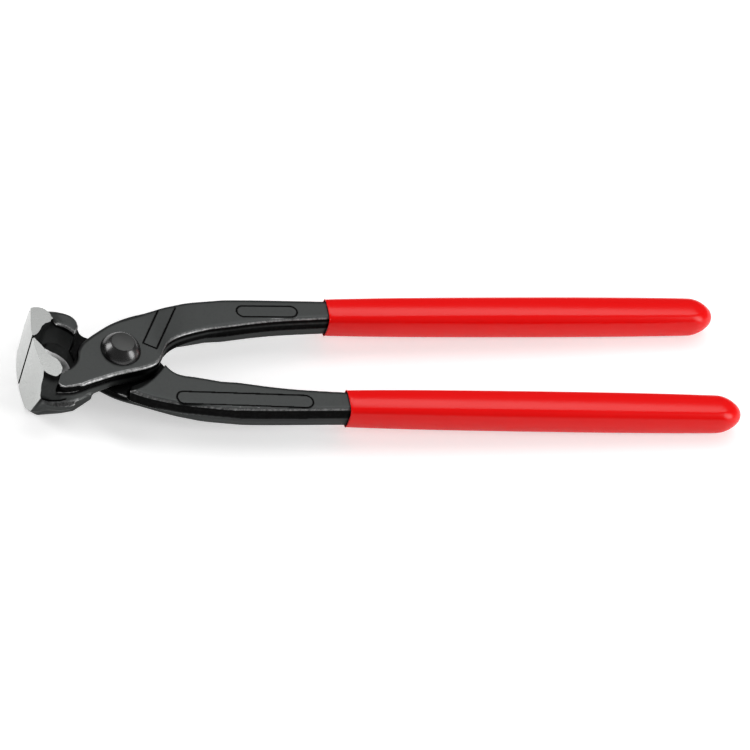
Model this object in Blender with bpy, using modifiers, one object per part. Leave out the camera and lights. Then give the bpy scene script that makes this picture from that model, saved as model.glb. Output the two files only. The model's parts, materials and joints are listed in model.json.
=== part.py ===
"""Rebar tying pliers (concreter's nippers), 250 mm long.

Two identical drop-forged levers are lapped at one rivet, one turned over on the other. Each
lever is a single strip of steel that runs from its cutting edge, round the jaw and through
the half-thickness joint plate to a handle, where a dipped plastic grip covers the tang.

Metres, +Z up along the rivet, +X towards the handle ends. The origin is under the middle of
the pliers, on the surface that their jaws lie on.
"""

import math

import bmesh
import bpy
from mathutils import Matrix, Vector

# Driving sizes of the pair
PIVOT_TO_EDGE = 0.0314  # from the rivet's axis to the cutting edges
PIVOT_TO_TIP = 0.2186  # from the rivet's axis to the ends of the grips
JAW_WIDTH = 0.0255  # length of the cutting edge, which is also the height of the head
PLATE_THICKNESS = 0.0063  # one joint plate
HANDLE_THICKNESS = 0.0090  # steel of a handle, across both its flats
LAP_GAP = 0.0003  # between the two joint plates
EDGE_GAP = 0.0003  # between the two cutting edges when the jaws are shut
SEAT_GAP = 0.0003  # between steel and anything that sits on it

# Ground faces of the head
FRONT_RADIUS = 0.060  # the front is ground to this radius about an upright axis
FRONT_STEPS = 12
GRINDING_STOCK = 0.0012  # what the forging stands proud of the ground faces
# As shares of PIVOT_TO_EDGE: where the front's wheel ends past the cutting edge, and how near
# to the rivet the end faces and the mating face are ground
FRONT_RUNOUT_SHARE = 0.25
END_RUNOUT_SHARE = 0.33
MATING_RUNOUT_SHARE = 0.85

# Rivet
RIVET_SHANK_RADIUS = 0.0048
RIVET_CLEARANCE = 0.0001
RIVET_HEAD_RADIUS = 0.0069
RIVET_FLAT_RADIUS = 0.0039
RIVET_HEAD_HEIGHT = 0.0040
RIVET_DOME_STEPS = 8
RIVET_SEGMENTS = 64

# Handle steel and tang, from the neck outwards
HANDLE_WIDTH = 0.0092  # at the mouth of the grip
HANDLE_BOW_WIDTH = 0.0144  # where the handle leaves the neck
TANG_WIDTH = 0.0086
TANG_SETBACK = 0.012  # from the end of the grip to the end of the steel
EDGE_ROUNDING = 0.0013  # of the long edges of the forging
EDGE_ROUNDING_LIMIT_SHARE = 0.33  # of the flank's height, where that is low
FLANK_KNEE_SHARE = 0.5  # height at which a flank ends its foot, as a share of its own
# A flared foot, from the parting line to its knee: how far it has leaned in and climbed
FLARE_SHARES = ((0, 0), (0.62, 0.30), (0.93, 1))
STRAIGHT_SHARES = ((0, 0), (0.25, 0.5), (0.5, 1))
BULGED_SHARES = ((0, 0), (0.08, 0.5), (0.40, 1.2))  # of the outer flank under the jaw

# Grips
GRIP_START = 0.0763  # from the rivet's axis to the mouth of the grip
GRIP_START_OFFSET = 0.0199  # of the handle's middle there, from the pliers' centre line
GRIP_END_OFFSET = 0.0219  # of the handle's middle at the grip's end
GRIP_WALL = 0.0014  # of plastic over the flats of the steel, where it is thickest
GRIP_CORNER_RADIUS = 0.0042
GRIP_LIP_ROUNDING = 0.0005
GRIP_NOSE_LENGTH = 0.0090  # over which the end of the grip rounds off
GRIP_TIP_FLAT = 0.0003  # half the width of the last flat on the nose
# From the mouth to where the nose begins: how far along, and what share of GRIP_WALL is there
GRIP_WALL_SHARES = (
    (0.00, 0.75),
    (0.20, 0.86),
    (0.45, 0.98),
    (0.70, 1.00),
    (0.88, 0.91),
    (1.00, 0.78),
)
GRIP_NOSE_STEPS = 7
GRIP_CORNER_STEPS = 4

# Where the free edges and the recess of a lever run, as shares of PIVOT_TO_EDGE. A station
# is a cut across the strip of steel. Its left end lies on the front, outer and inner-handle
# side, and its right end on the mouth and outer-handle side. Both are on the parting line.
# left x, left y, right x, right y
HEAD_PLAN_SHARES = (
    (-1.080, 0.050, -1.030, 0.040),
    (-1.080, 0.000, -0.994, 0.000),
    (-1.080, -0.050, -0.942, -0.050),
    (-1.080, -0.105, -0.900, -0.105),
    (-1.080, -0.190, -0.855, -0.172),
    (-1.070, -0.320, -0.805, -0.218),
    (-1.035, -0.455, -0.760, -0.236),
    (-0.960, -0.545, -0.712, -0.243),
    (-0.860, -0.595, -0.668, -0.242),
    (-0.790, -0.615, -0.634, -0.236),
    (-0.700, -0.627, -0.600, -0.222),
    (-0.600, -0.618, -0.556, -0.190),
    (-0.490, -0.572, -0.507, -0.138),
    (-0.380, -0.500, -0.482, -0.070),
    (-0.262, -0.430, -0.470, 0.010),
    (-0.140, -0.370, -0.430, 0.112),
    (-0.020, -0.331, -0.340, 0.230),
    (0.100, -0.300, -0.220, 0.350),
    (0.210, -0.271, -0.090, 0.459),
    (0.310, -0.236, 0.050, 0.540),
    (0.388, -0.188, 0.192, 0.604),
    (0.440, -0.110, 0.330, 0.650),
    (0.480, -0.020, 0.460, 0.683),
    (0.540, 0.080, 0.590, 0.713),
    (0.630, 0.160, 0.720, 0.730),
    (0.740, 0.223, 0.850, 0.747),
    (0.880, 0.280, 1.000, 0.765),
    (1.050, 0.331, 1.160, 0.780),
)
# At the same stations: how far the top has risen from the plate to the full head, how far it
# has sunk from the plate to the handle, and how far the underside has dropped from the
# handle's to the full head
HEAD_HEIGHT_SHARES = (
    (1.0, 0.0, 1.0),
    (1.0, 0.0, 1.0),
    (1.0, 0.0, 1.0),
    (1.0, 0.0, 1.0),
    (1.0, 0.0, 1.0),
    (1.0, 0.0, 1.0),
    (1.0, 0.0, 1.0),
    (1.0, 0.0, 0.95),
    (0.94, 0.0, 0.62),
    (0.34, 0.0, 0.56),
    (0.04, 0.0, 0.53),
    (0.0, 0.0, 0.52),
    (0.0, 0.0, 0.51),
    (0.0, 0.0, 0.46),
    (0.0, 0.0, 0.23),
    (0.0, 0.0, 0.0),
    (0.0, 0.0, 0.0),
    (0.0, 0.0, 0.0),
    (0.0, 0.0, 0.0),
    (0.0, 0.0, 0.0),
    (0.0, 0.0, 0.0),
    (0.0, 0.03, 0.0),
    (0.0, 0.15, 0.0),
    (0.0, 0.34, 0.0),
    (0.0, 0.55, 0.0),
    (0.0, 0.76, 0.0),
    (0.0, 0.92, 0.0),
    (0.0, 1.0, 0.0),
)
# At the same stations, as shares of PIVOT_TO_EDGE: how far the flanks lean in from the
# parting line, at the left top, left bottom, right top and right bottom
HEAD_DRAFT_SHARES = (
    (0.000, 0.000, 0.000, 0.000),
    (0.000, 0.000, 0.000, 0.000),
    (0.000, 0.010, 0.005, 0.000),
    (0.005, 0.020, 0.010, 0.000),
    (0.015, 0.040, 0.020, 0.000),
    (0.045, 0.090, 0.030, 0.000),
    (0.070, 0.150, 0.035, 0.000),
    (0.075, 0.175, 0.070, 0.000),
    (0.080, 0.185, 0.110, 0.000),
    (0.090, 0.190, 0.075, 0.000),
    (0.095, 0.190, 0.035, 0.000),
    (0.090, 0.185, 0.020, 0.000),
    (0.075, 0.175, 0.012, 0.000),
    (0.050, 0.140, 0.010, 0.005),
    (0.025, 0.080, 0.010, 0.010),
    (0.012, 0.030, 0.025, 0.010),
    (0.010, 0.010, 0.050, 0.010),
    (0.010, 0.010, 0.075, 0.010),
    (0.010, 0.010, 0.095, 0.010),
    (0.010, 0.010, 0.115, 0.010),
    (0.010, 0.010, 0.130, 0.010),
    (0.010, 0.080, 0.125, 0.010),
    (0.012, 0.140, 0.110, 0.010),
    (0.018, 0.150, 0.090, 0.010),
    (0.018, 0.120, 0.065, 0.010),
    (0.015, 0.075, 0.040, 0.010),
    (0.012, 0.045, 0.030, 0.010),
    (0.012, 0.030, 0.025, 0.010),
)
STEPS_PER_STATION = 3

# Handle stations past the head: how far along from the head to the grip's mouth, how far the
# middle has moved from the head's to the grip's, and how far the width has closed
HANDLE_SHARES = (
    (0.18, 0.31, 0.21),
    (0.38, 0.60, 0.48),
    (0.62, 0.81, 0.75),
    (1.00, 1.00, 1.00),
)
HANDLE_DRAFT_SHARE = 0.05  # of the handle's width, on each side

# Recess for the other lever's plate, as shares of PIVOT_TO_EDGE, on the parting plane
JAW_SHOULDER_SHARES = (
    (-0.60, 0.06),
    (-0.545, -0.07),
    (-0.490, -0.150),
    (-0.445, -0.230),
    (-0.452, -0.310),
    (-0.500, -0.390),
    (-0.545, -0.520),
    (-0.560, -0.720),
)
HANDLE_SHOULDER_SHARES = (
    (0.640, -0.120),
    (0.560, 0.010),
    (0.505, 0.100),
    (0.450, 0.172),
    (0.375, 0.238),
    (0.285, 0.286),
    (0.188, 0.334),
    (0.095, 0.378),
    (0.055, 0.430),
    (0.045, 0.520),
    (0.000, 0.640),
)
# How far the handle's shoulder leans back at its top, at the same points
SHOULDER_LEAN_SHARES = (
    (0.000, 0.000),
    (0.000, 0.000),
    (0.000, 0.006),
    (0.006, 0.012),
    (0.014, 0.030),
    (0.016, 0.075),
    (0.010, 0.110),
    (0.000, 0.120),
    (-0.020, 0.095),
    (-0.030, 0.030),
    (-0.030, 0.000),
)
SHOULDER_FOOT_SHARE = 0.35  # of the handle's half thickness, upright before it leans back
CUTTER_OVERRUN = 0.010  # of every cutter past what it cuts

# Derived values
PAIR_LENGTH = PIVOT_TO_EDGE + PIVOT_TO_TIP
PIVOT_PLACE = Vector((PIVOT_TO_EDGE - PAIR_LENGTH / 2, 0, JAW_WIDTH / 2))
JAW_HALF = JAW_WIDTH / 2
HANDLE_HALF = HANDLE_THICKNESS / 2
TANG_END = PIVOT_TO_TIP - TANG_SETBACK
MERGE_DISTANCE = 0.00001
SHARP_ANGLE = math.radians(30)


def clear_scene():
    for thing in list(bpy.data.objects):
        bpy.data.objects.remove(thing, do_unlink=True)


def new_collection(name):
    collection = bpy.data.collections.new(name)
    bpy.context.scene.collection.children.link(collection)
    return collection


def new_material(name, colour, metallic, roughness, coat=0.0):
    material = bpy.data.materials.new(name)
    material.use_nodes = True
    shader = material.node_tree.nodes["Principled BSDF"]
    shader.inputs["Base Color"].default_value = (*colour, 1)
    shader.inputs["Metallic"].default_value = metallic
    shader.inputs["Roughness"].default_value = roughness
    shader.inputs["Coat Weight"].default_value = coat
    material.diffuse_color = (*colour, 1)
    return material


def smooth_rows(rows, steps):
    """More rows of numbers on a smooth curve through the given ones (Catmull-Rom)."""
    padded = [rows[0], *rows, rows[-1]]
    result = []
    for before, start, end, after in zip(padded, padded[1:], padded[2:], padded[3:]):
        for step in range(steps):
            t = step / steps
            row = []
            for a, b, c, d in zip(before, start, end, after):
                row.append(
                    b
                    + 0.5 * t * (c - a)
                    + 0.5 * t * t * (2 * a - 5 * b + 4 * c - d)
                    + 0.5 * t ** 3 * (3 * (b - c) + d - a)
                )
            result.append(row)
    result.append(list(rows[-1]))
    return result


def flank(foot, inward, lean, height, shares):
    """Points up one flank, from the parting line to the edge of the flat on top of it."""
    rounding = min(EDGE_ROUNDING, abs(height) * EDGE_ROUNDING_LIMIT_SHARE)
    up = math.copysign(1, height)
    shoulder = height - up * rounding
    knee = FLANK_KNEE_SHARE * shoulder
    places = [(along * lean, climb * knee) for along, climb in shares]
    corner = rounding * (1 - math.sqrt(0.5))
    places += (
        (lean, shoulder),
        (lean + corner, height - up * corner),
        (lean + rounding, height),
    )
    return [foot + inward * along + Vector((0, 0, level)) for along, level in places]


def section(left, right, top, bottom, lean, under_shares=STRAIGHT_SHARES):
    """One closed cut across the strip: up the left flank, over, and round by the right."""
    inward = (right - left).normalized()
    left_top, left_bottom, right_top, right_bottom = lean
    upper_left = flank(left, inward, left_top, top, FLARE_SHARES)
    upper_right = flank(right, -inward, right_top, top, FLARE_SHARES)
    lower_right = flank(right, -inward, right_bottom, bottom, STRAIGHT_SHARES)
    lower_left = flank(left, inward, left_bottom, bottom, under_shares)
    return upper_left + upper_right[::-1] + lower_right[1:] + lower_left[:0:-1]


def head_rings():
    jaw_over = JAW_HALF + GRINDING_STOCK
    plan = smooth_rows(HEAD_PLAN_SHARES, STEPS_PER_STATION)
    heights = smooth_rows(HEAD_HEIGHT_SHARES, STEPS_PER_STATION)
    drafts = smooth_rows(HEAD_DRAFT_SHARES, STEPS_PER_STATION)
    rings = []
    for places, (risen, sunk, dropped), draft in zip(plan, heights, drafts):
        left = Vector((places[0], places[1], 0)) * PIVOT_TO_EDGE
        right = Vector((places[2], places[3], 0)) * PIVOT_TO_EDGE
        top = PLATE_THICKNESS + risen * (jaw_over - PLATE_THICKNESS)
        top += sunk * (HANDLE_HALF - PLATE_THICKNESS)
        bottom = -HANDLE_HALF - dropped * (jaw_over - HANDLE_HALF)
        lean = [max(share, 0) * PIVOT_TO_EDGE for share in draft]
        under_shares = BULGED_SHARES if dropped > 0 else STRAIGHT_SHARES
        rings.append(section(left, right, top, bottom, lean, under_shares))
    return rings


def handle_section(along, middle, width):
    lean = HANDLE_DRAFT_SHARE * width
    left = Vector((along, middle - width / 2, 0))
    right = Vector((along, middle + width / 2, 0))
    return section(left, right, HANDLE_HALF, -HANDLE_HALF, [lean] * 4)


def handle_rings():
    last = HEAD_PLAN_SHARES[-1]
    start = PIVOT_TO_EDGE * (last[0] + last[2]) / 2
    start_middle = PIVOT_TO_EDGE * (last[1] + last[3]) / 2
    rows = [(start, start_middle, HANDLE_BOW_WIDTH)]
    for along, shift, closed in HANDLE_SHARES:
        rows.append(
            (
                start + along * (GRIP_START - start),
                start_middle + shift * (GRIP_START_OFFSET - start_middle),
                HANDLE_BOW_WIDTH + closed * (HANDLE_WIDTH - HANDLE_BOW_WIDTH),
            )
        )
    return [handle_section(*row) for row in smooth_rows(rows, STEPS_PER_STATION)[2:]]


def tang_row(along):
    """Where the steel inside the grip is at a distance from the rivet: its middle and width."""
    share = (along - GRIP_START) / (PIVOT_TO_TIP - GRIP_START)
    middle = GRIP_START_OFFSET + share * (GRIP_END_OFFSET - GRIP_START_OFFSET)
    width = HANDLE_WIDTH + share * (TANG_WIDTH - HANDLE_WIDTH)
    return middle, width


def tang_rings():
    rings = []
    for along in ((GRIP_START + TANG_END) / 2, TANG_END):
        middle, width = tang_row(along)
        rings.append(handle_section(along, middle, width))
    return rings


def lofted_mesh(name, rings):
    """A skin over rings of equal length, with a flat face on each end."""
    shape = bmesh.new()
    loops = [[shape.verts.new(point) for point in ring] for ring in rings]
    for near, far in zip(loops, loops[1:]):
        for index in range(len(near)):
            following = (index + 1) % len(near)
            shape.faces.new((near[index], near[following], far[following], far[index]))
    shape.faces.new(loops[0])
    shape.faces.new(loops[-1])
    bmesh.ops.recalc_face_normals(shape, faces=shape.faces)
    mesh = bpy.data.meshes.new(name)
    shape.to_mesh(mesh)
    shape.free()
    return mesh


def add_object(name, mesh, collection, material=None):
    made = bpy.data.objects.new(name, mesh)
    collection.objects.link(made)
    if material:
        mesh.materials.clear()
        mesh.materials.append(material)
    return made


def hide_cutter(cutter):
    cutter.hide_render = True
    cutter.display_type = "WIRE"
    return cutter


def box_cutter(name, low, high, collection):
    shape = bmesh.new()
    bmesh.ops.create_cube(shape, size=1)
    middle = (Vector(low) + Vector(high)) / 2
    size = Vector(high) - Vector(low)
    bmesh.ops.transform(shape, matrix=Matrix.Diagonal((*size, 1)), verts=shape.verts)
    bmesh.ops.translate(shape, vec=middle, verts=shape.verts)
    mesh = bpy.data.meshes.new(name)
    shape.to_mesh(mesh)
    shape.free()
    return hide_cutter(add_object(name, mesh, collection))


def prism_cutter(name, rings, collection):
    return hide_cutter(add_object(name, lofted_mesh(name, rings), collection))


def front_cutter(collection):
    """What the wheel takes off the front: everything ahead of a large upright cylinder."""
    curve = []
    for index in range(FRONT_STEPS + 1):
        across = PIVOT_TO_EDGE * ((1 + FRONT_RUNOUT_SHARE) * index / FRONT_STEPS - 1)
        set_back = FRONT_RADIUS - math.sqrt(FRONT_RADIUS ** 2 - across ** 2)
        curve.append((set_back - PIVOT_TO_EDGE, across))
    front = -PIVOT_TO_EDGE - CUTTER_OVERRUN
    outline = curve + [(front, curve[-1][1]), (front, curve[0][1])]
    level = JAW_HALF + CUTTER_OVERRUN
    rings = [[Vector((x, y, z)) for x, y in outline] for z in (-level, level)]
    return prism_cutter("front_grinding", rings, collection)


def recess_cutter(collection):
    """Clears the parting plane for the other plate, up to a shoulder at each end."""
    jaw = smooth_rows(JAW_SHOULDER_SHARES, STEPS_PER_STATION)
    handle = smooth_rows(HANDLE_SHOULDER_SHARES, STEPS_PER_STATION)
    lean = smooth_rows(SHOULDER_LEAN_SHARES, STEPS_PER_STATION)
    far = JAW_HALF + CUTTER_OVERRUN
    foot = -SHOULDER_FOOT_SHARE * HANDLE_HALF
    levels = ((LAP_GAP / 2, 0), (foot, 0), (-HANDLE_HALF, 1), (-far, 1))
    rings = []
    for level, leaning in levels:
        outline = [(x, y) for x, y in jaw]
        outline += [
            (x + leaning * back_x, y + leaning * back_y)
            for (x, y), (back_x, back_y) in zip(handle, lean)
        ]
        plan = [Vector((x, y, 0)) * PIVOT_TO_EDGE for x, y in outline]
        rings.append([point + Vector((0, 0, level)) for point in plan])
    return prism_cutter("lap_recess", rings, collection)


def rivet_hole_cutter(collection):
    shape = bmesh.new()
    bmesh.ops.create_cone(
        shape,
        cap_ends=True,
        segments=RIVET_SEGMENTS,
        radius1=RIVET_SHANK_RADIUS + RIVET_CLEARANCE,
        radius2=RIVET_SHANK_RADIUS + RIVET_CLEARANCE,
        depth=2 * (PLATE_THICKNESS + CUTTER_OVERRUN),
    )
    mesh = bpy.data.meshes.new("rivet_hole")
    shape.to_mesh(mesh)
    shape.free()
    return hide_cutter(add_object("rivet_hole", mesh, collection))


def lever_mesh(parts, cutters, material):
    """One forged and ground lever, with its rivet hole on the Z axis and its edge at -X."""
    rings = head_rings() + handle_rings() + tang_rings()
    forging = add_object("forging", lofted_mesh("lever", rings), parts, material)
    front = -PIVOT_TO_EDGE - CUTTER_OVERRUN
    ends_stop = -PIVOT_TO_EDGE * END_RUNOUT_SHARE
    mating_stop = -PIVOT_TO_EDGE * MATING_RUNOUT_SHARE
    side = PIVOT_TO_EDGE
    far = JAW_HALF + CUTTER_OVERRUN
    boxes = (
        ("top_grinding", (front, -side, JAW_HALF), (ends_stop, side, far)),
        ("bottom_grinding", (front, -side, -far), (ends_stop, side, -JAW_HALF)),
        ("mating_grinding", (front, -EDGE_GAP / 2, -far), (mating_stop, CUTTER_OVERRUN, far)),
    )
    tools = [
        recess_cutter(cutters),
        *(box_cutter(name, low, high, cutters) for name, low, high in boxes),
        front_cutter(cutters),
        rivet_hole_cutter(cutters),
    ]
    for tool in tools:
        cut = forging.modifiers.new(tool.name, "BOOLEAN")
        cut.operation = "DIFFERENCE"
        cut.solver = "MANIFOLD"
        cut.object = tool
    bpy.context.view_layer.update()
    evaluated = forging.evaluated_get(bpy.context.evaluated_depsgraph_get())
    mesh = bpy.data.meshes.new_from_object(evaluated)
    mesh.name = "lever"
    bpy.data.objects.remove(forging, do_unlink=True)
    mesh.shade_smooth()
    mesh.set_sharp_from_angle(angle=SHARP_ANGLE)
    return mesh


def rounded_ring(along, middle, half_width, half_height, radius):
    """A rectangle with round corners, square to the handle."""
    radius = min(radius, half_width, half_height)
    points = []
    for quarter in range(4):
        side_y = (1, -1, -1, 1)[quarter]
        side_z = (1, 1, -1, -1)[quarter]
        for step in range(GRIP_CORNER_STEPS + 1):
            angle = math.pi / 2 * (quarter + step / GRIP_CORNER_STEPS)
            points.append(
                Vector(
                    (
                        along,
                        middle + side_y * (half_width - radius) + radius * math.cos(angle),
                        side_z * (half_height - radius) + radius * math.sin(angle),
                    )
                )
            )
    return points


def grip_mesh():
    """A dipped sleeve: outside to the nose, then back along its bore over the tang."""
    nose_start = PIVOT_TO_TIP - GRIP_NOSE_LENGTH
    lip = GRIP_START + GRIP_LIP_ROUNDING
    bore_width = HANDLE_WIDTH / 2 + SEAT_GAP
    bore_height = HANDLE_HALF + SEAT_GAP
    outside = [
        (lip + share * (nose_start - lip), wall_share * GRIP_WALL)
        for share, wall_share in GRIP_WALL_SHARES
    ]
    end_wide = bore_width + outside[-1][1]
    end_high = bore_height + outside[-1][1]
    outside.insert(0, (GRIP_START, outside[0][1] - GRIP_LIP_ROUNDING))
    sizes = [(along, bore_width + wall, bore_height + wall) for along, wall in outside]
    for index in range(1, GRIP_NOSE_STEPS + 1):
        angle = math.pi / 2 * index / GRIP_NOSE_STEPS
        along = nose_start + GRIP_NOSE_LENGTH * math.sin(angle)
        wide = max(end_wide * math.cos(angle), GRIP_TIP_FLAT)
        high = max(end_high * math.cos(angle), GRIP_TIP_FLAT)
        sizes.append((along, wide, high))
    rings = []
    for along, wide, high in sizes:
        rings.append(rounded_ring(along, tang_row(along)[0], wide, high, GRIP_CORNER_RADIUS))
    bore_radius = EDGE_ROUNDING + SEAT_GAP
    bore = []
    for along in (TANG_END + SEAT_GAP, (GRIP_START + TANG_END) / 2, GRIP_START):
        middle, width = tang_row(along)
        bore.append(
            rounded_ring(along, middle, width / 2 + SEAT_GAP, HANDLE_HALF + SEAT_GAP, bore_radius)
        )
    shape = bmesh.new()
    loops = [[shape.verts.new(point) for point in ring] for ring in rings + bore]
    seam = len(rings)
    pairs = list(zip(loops[:seam], loops[1:seam])) + list(zip(loops[seam:], loops[seam + 1 :]))
    pairs.append((loops[-1], loops[0]))
    for near, far in pairs:
        for index in range(len(near)):
            following = (index + 1) % len(near)
            shape.faces.new((near[index], near[following], far[following], far[index]))
    shape.faces.new(loops[seam - 1])
    shape.faces.new(loops[seam])
    bmesh.ops.recalc_face_normals(shape, faces=shape.faces)
    mesh = bpy.data.meshes.new("grip")
    shape.to_mesh(mesh)
    shape.free()
    mesh.shade_smooth()
    mesh.set_sharp_from_angle(angle=SHARP_ANGLE)
    return mesh


def rivet_profile():
    """Half outline of the rivet, down its outer side from the flat of the top head.

    The side of a head is part of a ball, whose middle is as far from the rim of the flat as
    from the rim of the seat.
    """
    seat = PLATE_THICKNESS + SEAT_GAP / 2
    crown = seat + RIVET_HEAD_HEIGHT
    ball_level = (seat + crown) / 2
    ball_level -= (RIVET_HEAD_RADIUS ** 2 - RIVET_FLAT_RADIUS ** 2) / (2 * RIVET_HEAD_HEIGHT)
    ball_radius = math.hypot(RIVET_HEAD_RADIUS, seat - ball_level)
    start = math.atan2(RIVET_FLAT_RADIUS, crown - ball_level)
    end = math.atan2(RIVET_HEAD_RADIUS, seat - ball_level)
    dome = [(0, crown)]
    for index in range(RIVET_DOME_STEPS + 1):
        angle = start + (end - start) * index / RIVET_DOME_STEPS
        radius = ball_radius * math.sin(angle)
        dome.append((radius, ball_level + ball_radius * math.cos(angle)))
    dome.append((RIVET_SHANK_RADIUS, seat))
    return dome + [(radius, -level) for radius, level in dome[::-1]]


def add_rivet(collection, material):
    shape = bmesh.new()
    points = [shape.verts.new((radius, 0, level)) for radius, level in rivet_profile()]
    for upper, lower in zip(points, points[1:]):
        shape.edges.new((upper, lower))
    mesh = bpy.data.meshes.new("pivot_rivet")
    shape.to_mesh(mesh)
    shape.free()
    rivet = add_object("pivot_rivet", mesh, collection, material)
    turn = rivet.modifiers.new("turned", "SCREW")
    turn.steps = RIVET_SEGMENTS
    turn.render_steps = RIVET_SEGMENTS
    turn.use_merge_vertices = True
    turn.merge_threshold = MERGE_DISTANCE
    turn.use_smooth_shade = True
    return rivet


def main():
    clear_scene()
    parts = new_collection("rebar_tying_pliers")
    cutters = new_collection("cutters")
    steel = new_material("black_steel", (0.065, 0.068, 0.067), 0.75, 0.42)
    rivet_steel = new_material("rivet_steel", (0.045, 0.045, 0.046), 0.8, 0.25)
    red_plastic = new_material("red_dipped_plastic", (0.75, 0.0, 0.0), 0.0, 0.2, 0.5)

    pivot = bpy.data.objects.new("jaw_pivot", None)
    pivot.location = PIVOT_PLACE
    parts.objects.link(pivot)

    lever = lever_mesh(parts, cutters, steel)
    grip = grip_mesh()
    turned_over = (math.pi, 0, 0)
    for name, mesh, material, turn in (
        ("lower_lever", lever, steel, turned_over),
        ("lower_grip", grip, red_plastic, turned_over),
        ("upper_lever", lever, steel, (0, 0, 0)),
        ("upper_grip", grip, red_plastic, (0, 0, 0)),
    ):
        piece = add_object(name, mesh, parts, material)
        piece.parent = pivot
        piece.rotation_euler = turn
    rivet = add_rivet(parts, rivet_steel)
    rivet.parent = pivot


main()
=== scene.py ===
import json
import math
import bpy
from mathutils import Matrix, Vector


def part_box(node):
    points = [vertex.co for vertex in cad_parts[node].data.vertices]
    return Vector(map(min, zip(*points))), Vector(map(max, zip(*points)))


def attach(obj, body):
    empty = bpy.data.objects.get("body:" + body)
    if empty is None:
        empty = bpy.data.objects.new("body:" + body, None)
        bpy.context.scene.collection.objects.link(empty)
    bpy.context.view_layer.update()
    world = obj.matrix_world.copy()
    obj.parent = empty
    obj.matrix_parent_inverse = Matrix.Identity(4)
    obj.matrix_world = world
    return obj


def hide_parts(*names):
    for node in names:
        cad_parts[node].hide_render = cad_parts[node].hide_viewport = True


bl_info = {
    "name": "Rebar Tying Pliers",
    "version": (1, 0, 0),
    "blender": (4, 5, 0),
    "location": "3D View > Sidebar > Pliers",
    "description": "Dresses a pair of rebar tying pliers: forged levers, rivet, dipped grips and a studio",
    "category": "Object",
}

import bmesh
import bpy
import numpy as np
from bpy.props import FloatProperty, FloatVectorProperty, IntProperty, PointerProperty
from mathutils import Matrix, Vector, kdtree

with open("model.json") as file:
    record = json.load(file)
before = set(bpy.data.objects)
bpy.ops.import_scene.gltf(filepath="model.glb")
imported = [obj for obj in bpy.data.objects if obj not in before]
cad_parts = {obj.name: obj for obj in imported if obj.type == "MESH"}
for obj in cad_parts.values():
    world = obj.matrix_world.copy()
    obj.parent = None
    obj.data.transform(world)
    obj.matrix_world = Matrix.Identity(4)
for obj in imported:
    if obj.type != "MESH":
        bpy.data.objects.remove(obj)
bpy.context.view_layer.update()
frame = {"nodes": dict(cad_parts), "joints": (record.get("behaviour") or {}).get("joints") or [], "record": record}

PIVOT = Vector(frame["joints"][0]["pos_m"])
MM = 0.001

# Distances of the forging and grinding, in metres
EDGE_GAP = 0.02 * MM  # from the parting plane to a cutting edge
EDGE_RELIEF = 0.58 * MM  # more that is taken off a cutting edge at the very front
EDGE_RELIEF_DEPTH = 0.9 * MM
JAW_BACK = 17 * MM  # forward of the rivet's axis, as are the next two
MATING_BACK = 26 * MM
WHEEL_BACK = 10 * MM
GROUND_REACH = 12 * MM  # from the cutting edges back, as far as faces are bright
GROUND_TOLERANCE = 0.004 * MM
FLAT_LIMIT = 3.5 * MM  # over the parting plane, above which a flat takes an engraved line
TAG_STEP = 0.8 * MM
MERGE_DISTANCE = 0.001 * MM
LOBE_LIMIT = 2.2 * MM  # the most that a point of a jaw's end moves
LOBE_DEPTH = 6.5 * MM  # where the moves have faded away
LOBE_RING = 0.3 * MM  # the depth that tells the end's outline
CUT_TOP = 30 * MM  # above all of the steel

# Steps round curves
FRONT_STEPS = 720
LOBE_STEPS = 90
ROUND_END_STEPS = 12

# Angles past which neighbouring faces are shaded sharp
SHARP_LEVER = math.radians(35)
SHARP_RIVET = math.radians(28)
SHARP_GRIP = math.radians(60)

# Millimetres from the rivet's axis, along the pliers, across them and over the parting plane
SHORT_FRAME = ((43.9, 18.6), (65.3, 18.7), 2.35)
LONG_FRAME = ((16.7, -18.8), (63.7, -20.5), 2.6)
TAG_FRAME = ((22.3, 19.2), (12.5, 0.5), (8.2, 2.9), (17.0, 19.6))
CREASE = ((-28.4, 1.3), (-26.6, 1.2), (-24.6, 1.1), (-22.4, 1.2), (-20.6, 1.6))  # along and level
ROOT_RELIEF_LEVELS = (-16 * MM, 3 * MM)
ROOT_RELIEF = (
    (-11.5, 14.6), (-11.2, 13.1), (-11.0, 12.0), (-10.3, 11.0), (-9.4, 10.4), (-8.0, 9.8),
    (-5.5, 9.4), (-2.0, 12.0), (-2.0, 22.0), (-11.5, 22.0),
)
FRONT_FACET = ((-28.94, -17.0, 1.55), (-0.699, -0.699, -0.153), 34 * MM)  # place, facing and size

# Beside the finger the steel drops straight to the joint plate, whose corner stands back
RECESS_LEVEL = 6.3 * MM
RECESS = (
    (-19.5, -7.5), (-21.5, -8.8), (-23.0, -11.0), (-23.6, -13.5), (-23.5, -15.3), (-24.2, -16.6),
    (-25.5, -18.0), (-25.5, -24.0), (-8.0, -24.0), (-8.0, -7.5),
)
CORNER_LEVEL = 4.2 * MM
CORNER = (
    (-23.6, -12.5), (-23.5, -14.6), (-23.0, -15.6), (-21.5, -16.1), (-19.0, -15.8), (-16.7, -15.3),
    (-14.0, -15.2), (-14.0, -24.0), (-25.2, -24.0), (-25.2, -18.0), (-24.4, -16.4), (-24.2, -14.6),
    (-24.2, -12.5),
)
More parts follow.
